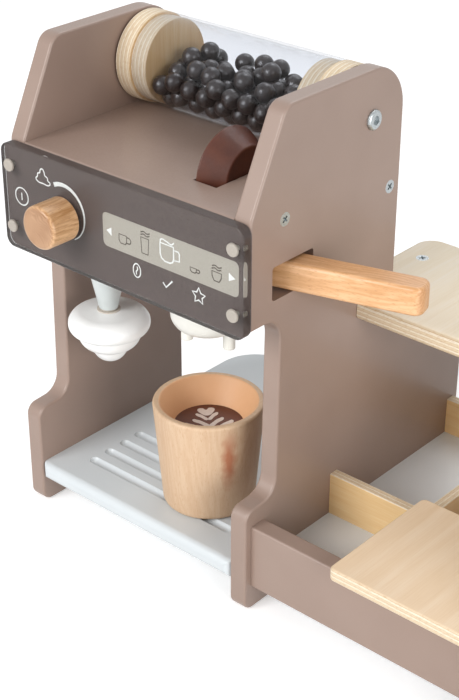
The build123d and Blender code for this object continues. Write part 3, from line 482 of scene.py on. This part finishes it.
# symbols printed behind the clear front, in millimetres from the front's middle and its lower edge
printed = {
    "thickness": 0.05, "filmMargin": 0.15, "filmCorner": 5.8, "display": (-13.6, 23.6, 88.1, 44.5, 3.2),
    "fineLine": 0.85, "boldLine": 1.0, "beanLine": 0.8, "foamLine": 0.9, "greyLine": 0.72,
    "switch": (-81.5, 33.7), "switchSize": 10.8, "switchBar": 2.4,
    "cream": [(-62.2, 56.3), (-60.7, 54.6), (-60.2, 52.7), (-58.3, 51.8), (-57.8, 50.0), (-56.1, 48.9),
              (-56.8, 47.6), (-62.0, 47.3), (-66.9, 47.8), (-68.0, 49.2), (-66.6, 50.8), (-66.3, 52.6),
              (-64.5, 53.5), (-63.9, 55.4)],
    "dial": (-45.5, 34.1), "dialRadius": 16.9, "dialStart": 116, "dialEnd": -62, "dialSteps": 12,
    "dialWidth": 2.9, "dialTaper": 0.18,
    "star": (59.4, 15.4), "starTip": 5.0, "starNotch": 2.5,
    "bean": (12.5, 15.6), "beanSize": (5.6, 8.4),
    "beanCrease": [(0.3, 2.6), (0.5, 0.8), (-0.5, -0.8), (-0.3, -2.6)],
    "tick": [(32.6, 15.0), (35.0, 12.6), (39.8, 17.8)],
    "leftArrow": [(-10.8, 33.6), (-6.8, 36.2), (-6.8, 31.0)],
    "rightArrow": [(81.1, 36.7), (85.7, 34.2), (81.1, 31.7)],
    # the chosen drink: a large mug with foam
    "mug": [(30.9, 38.8), (41.0, 38.8), (41.0, 31.4), (40.2, 29.4), (38.2, 28.4), (34.4, 28.4),
            (31.8, 29.8), (30.9, 32.4)],
    "mugHandle": [(41.2, 37.0), (44.4, 37.0), (45.3, 36.0), (45.3, 31.4), (41.2, 30.9)],
    "mugFoam": [(31.0, 38.8), (31.6, 40.9), (36.0, 40.7), (39.4, 39.9), (41.4, 41.4)],
    # the other drinks, each with its body, its handle and the left ends of its waves of foam
    "drinks": (
        ([(-0.9, 34.3), (5.0, 34.3), (5.0, 30.4), (4.0, 28.9), (0.2, 28.9), (-0.9, 30.4)],
         [(5.0, 33.6), (7.6, 33.2), (8.0, 30.8), (5.0, 30.0)], []),
        ([(16.2, 37.6), (22.3, 37.6), (21.6, 28.0), (16.8, 28.0)], [], [(16.1, 39.4), (16.3, 41.0)]),
        ([(53.2, 31.1), (57.9, 31.1), (57.6, 29.2), (56.8, 28.4), (54.4, 28.4), (53.4, 29.2)],
         [(57.9, 30.8), (60.0, 30.6), (59.6, 29.2), (57.6, 29.2)], []),
        ([(69.0, 34.0), (75.9, 34.0), (75.7, 31.0), (74.2, 28.6), (70.7, 28.6), (69.2, 31.0)], [],
         [(68.9, 35.8), (69.1, 37.4)])),
    "wave": 2.3, "waveHeight": 0.4}
switchX, switchY = printed["switch"]
switchBar = [(switchX, switchY - printed["switchBar"]), (switchX, switchY + printed["switchBar"])]
dialX, dialY = printed["dial"]
dialTurn = (printed["dialEnd"] - printed["dialStart"]) / printed["dialSteps"]
sweep = [math.radians(printed["dialStart"] + dialTurn * step) for step in range(printed["dialSteps"] + 1)]
dialArc = [(dialX + printed["dialRadius"] * math.cos(angle), dialY + printed["dialRadius"] * math.sin(angle))
           for angle in sweep]
starX, starY = printed["star"]
starPoints = []
for step in range(5):
    for reach, angle in ((printed["starTip"], 90 - 72 * step), (printed["starNotch"], 54 - 72 * step)):
        starPoints.append((starX + reach * math.cos(math.radians(angle)),
                           starY + reach * math.sin(math.radians(angle))))
beanX, beanY = printed["bean"]
beanCrease = [(beanX + x, beanY + y) for x, y in printed["beanCrease"]]
switchRing = ring(printed["switch"], printed["switchSize"], printed["switchSize"])
whitePrint = [
    inkLine(printed["fineLine"], switchRing, closed=True),
    inkLine(printed["fineLine"], switchBar),
    inkLine(printed["fineLine"], printed["cream"], closed=True),
    inkLine(printed["dialWidth"], dialArc, taper=printed["dialTaper"]),
    inkLine(printed["boldLine"], starPoints, closed=True, smooth=False),
    inkLine(printed["beanLine"], ring(printed["bean"], *printed["beanSize"]), closed=True),
    inkLine(printed["beanLine"], beanCrease),
    inkLine(printed["boldLine"], printed["tick"], smooth=False),
    inkFill(printed["leftArrow"]),
    inkFill(printed["rightArrow"]),
    inkLine(printed["boldLine"], printed["mug"], closed=True, smooth=False),
    inkLine(printed["boldLine"], printed["mugHandle"], smooth=False),
    inkLine(printed["foamLine"], printed["mugFoam"])]
greyPrint = []
for body, handle, foam in printed["drinks"]:
    greyPrint.append(inkLine(printed["greyLine"], body, closed=True, smooth=False))
    if handle:
        greyPrint.append(inkLine(printed["greyLine"], handle))
    for left, height in foam:
        wave = [(left + printed["wave"] * step, height + printed["waveHeight"] * (1 if step % 2 else -1))
                for step in range(4)]
        greyPrint.append(inkLine(printed["greyLine"], wave))
frontLow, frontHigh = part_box("control_panel")
printLow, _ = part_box("control_panel_print")
panelSpot = Vector(((frontLow[0] + frontHigh[0]) / 2, printLow[1], frontLow[2]))


def onPanel(lift):
    # placing of a layer that stands a little in front of the printed film, facing the front
    return Matrix.Translation(panelSpot - Vector((0, lift * mm, 0))) @ Matrix.Rotation(math.pi / 2, 4, "X")


# screen-printed inks, even and nearly matt: the dark film, the beige field on it, and the lines in front
layer = printed["thickness"]
margin = printed["filmMargin"]
filmHalf = (frontHigh[0] - frontLow[0]) / mm / 2 - margin
filmTop = (frontHigh[2] - frontLow[2]) / mm - margin
filmOutline = roundBox(-filmHalf, margin, filmHalf, filmTop, printed["filmCorner"])
filmInk = fineGrit("screenPrintedFilm", *inks["film"], 0.55, 2.5 * mm)
dress(filmInk, "control_panel_print")
printLayer("filmToTheEdge", [inkFill(filmOutline)], layer, onPanel(layer * 0.5),
           filmInk, "frame")
printLayer("displayField", [inkFill(roundBox(*printed["display"]))], layer, onPanel(layer),
           fineGrit("screenPrintBeige", *inks["display"], 0.5, 1.2 * mm), "frame")
printLayer("whiteSymbols", whitePrint, layer, onPanel(layer * 2.5),
           fineGrit("screenPrintWhite", *inks["white"], 0.5, 1.2 * mm), "frame")
printLayer("drinkSymbols", greyPrint, layer, onPanel(layer * 2.5),
           fineGrit("screenPrintGrey", *inks["grey"], 0.5, 1.2 * mm), "frame")
print("control panel print done")

# milk pattern printed on the coffee, in millimetres from the disc's middle: a heart given by its back, its
# tip and half its width, and pairs of leaves given by their root, reach, spread and width
milk = {"turn": -41, "thickness": 0.06, "lift": 0.03, "heart": (-16.4, -8.4, 5.4),
        "leaves": ((-3.2, 8.4, 7.0, 2.3), (4.2, 9.4, 9.6, 2.7), (11.4, 13.0, 15.0, 3.0))}
back, tip, half = milk["heart"]
heartOutline = [(tip, 0), (tip - 4.0, half * 0.8), (back, half * 0.95), (back - 0.9, half * 0.4),
                (back + 1.2, 0), (back - 0.9, -half * 0.4), (back, -half * 0.95), (tip - 4.0, -half * 0.8)]
milkAreas = [inkFill(heartOutline, smooth=True)]
for root, reach, spread, width in milk["leaves"]:
    for side in (-1, 1):
        leafOutline = [
            (root, 0.4 * side), (root - reach * 0.42, spread * 0.62 * side),
            (root - reach * 0.8, spread * side), (root - reach * 0.98, (spread - 0.3) * side),
            (root - reach * 0.9, (spread - width) * side),
            (root - reach * 0.45 - width * 0.4, (spread * 0.5 - width * 0.6) * side)]
        milkAreas.append(inkFill(leafOutline, smooth=True))
coffeeLow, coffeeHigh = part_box("coffee_disc")
coffeeSpot = Vector(((coffeeLow[0] + coffeeHigh[0]) / 2, (coffeeLow[1] + coffeeHigh[1]) / 2,
                     coffeeHigh[2] + milk["lift"] * mm))
printLayer("milkPattern", milkAreas, milk["thickness"],
           Matrix.Translation(coffeeSpot) @ Matrix.Rotation(math.radians(milk["turn"]), 4, "Z"),
           fineGrit("printedMilk", *inks["milk"], 0.45, 1.5 * mm), "cup")
print("coffee print done")

# camera: its place, its three axes and its lens in millimetres
view = {"place": (0.484696, -0.650706, 0.585792), "right": (0.75021712, 0.66118931, 0.00172244),
        "up": (-0.32276572, 0.36394941, 0.87370654), "back": (0.57705855, -0.65602555, 0.48645032),
        "lens": 79.9012}
camera = bpy.data.objects.new("camera", bpy.data.cameras.new("camera"))
bpy.context.scene.collection.objects.link(camera)
turned = Matrix((view["right"], view["up"], view["back"])).transposed().to_4x4()
camera.matrix_world = Matrix.Translation(view["place"]) @ turned
camera.data.lens = view["lens"]
camera.data.sensor_width = 36
camera.data.clip_start = 0.01
bpy.context.scene.camera = camera


def lookedAt(owner):
    # 1 for the rays by which an eye sees the background: straight, in a mirror or through glass
    ray = addNode(owner, "ShaderNodeLightPath")
    direct = addNode(owner, "ShaderNodeMath", {
        0: ray.outputs["Is Camera Ray"], 1: ray.outputs["Is Glossy Ray"]})
    return addNode(owner, "ShaderNodeMath", {
        0: direct.outputs[0], 1: ray.outputs["Is Transmission Ray"]}, use_clamp=True).outputs[0]


# white paper floor and soft studio light: a large key lamp from the front left, a low lamp from the right
# that reaches into the counter, and a weak one from behind; each has its place in metres and its watts
studio = {"floorSize": 3.2, "paper": "F4F4F4", "paperGlow": 0.35, "room": 0.34, "lampSize": 1.4,
          "aim": (0, 0, 0.12),
          "lamps": {"keyLamp": ((-0.5, -2.1, 1.35), 46.0), "sideLamp": ((2.35, -0.7, 0.66), 36.0),
                    "backLamp": ((-0.5, 1.4, 2.1), 17.0)}}
floorMesh = bpy.data.meshes.new("studioFloor")
shape = bmesh.new()
bmesh.ops.create_grid(shape, x_segments=1, y_segments=1, size=studio["floorSize"] / 2)
shape.to_mesh(floorMesh)
shape.free()
floor = bpy.data.objects.new("studioFloor", floorMesh)
bpy.context.scene.collection.objects.link(floor)
floorPaper, _, _ = newMaterial("backgroundPaper")  # matt paper that looks white and still takes a shadow
matt = addNode(floorPaper, "ShaderNodeBsdfDiffuse", {"Color": linear(studio["paper"])})
glow = addNode(floorPaper, "ShaderNodeEmission", {"Strength": studio["paperGlow"]})
lit = addNode(floorPaper, "ShaderNodeAddShader", {0: matt.outputs[0], 1: glow.outputs[0]})
seen = addNode(floorPaper, "ShaderNodeMixShader", {
    0: lookedAt(floorPaper), 1: matt.outputs[0], 2: lit.outputs[0]})
addNode(floorPaper, "ShaderNodeOutputMaterial", {"Surface": seen.outputs[0]})
floorMesh.materials.append(floorPaper)

world = bpy.data.worlds.new("studio")
world.use_nodes = True
world.node_tree.nodes.clear()
bpy.context.scene.world = world
white = (1.0, 1.0, 1.0, 1.0)
room = addNode(world, "ShaderNodeBackground", {"Color": white, "Strength": studio["room"]})
backdrop = addNode(world, "ShaderNodeBackground", {"Color": white, "Strength": 1.0})
seen = addNode(world, "ShaderNodeMixShader", {
    0: lookedAt(world), 1: room.outputs[0], 2: backdrop.outputs[0]})
addNode(world, "ShaderNodeOutputWorld", {"Surface": seen.outputs[0]})

for name, (spot, power) in studio["lamps"].items():
    lamp = bpy.data.objects.new(name, bpy.data.lights.new(name, "AREA"))
    bpy.context.scene.collection.objects.link(lamp)
    lamp.data.shape = "SQUARE"
    lamp.data.size = studio["lampSize"]
    lamp.data.energy = power
    lamp.location = spot
    lamp.rotation_mode = "QUATERNION"
    lamp.rotation_quaternion = (Vector(studio["aim"]) - Vector(spot)).to_track_quat("-Z", "Y")
bpy.context.scene.view_settings.view_transform = "Standard"
print("camera and light done")
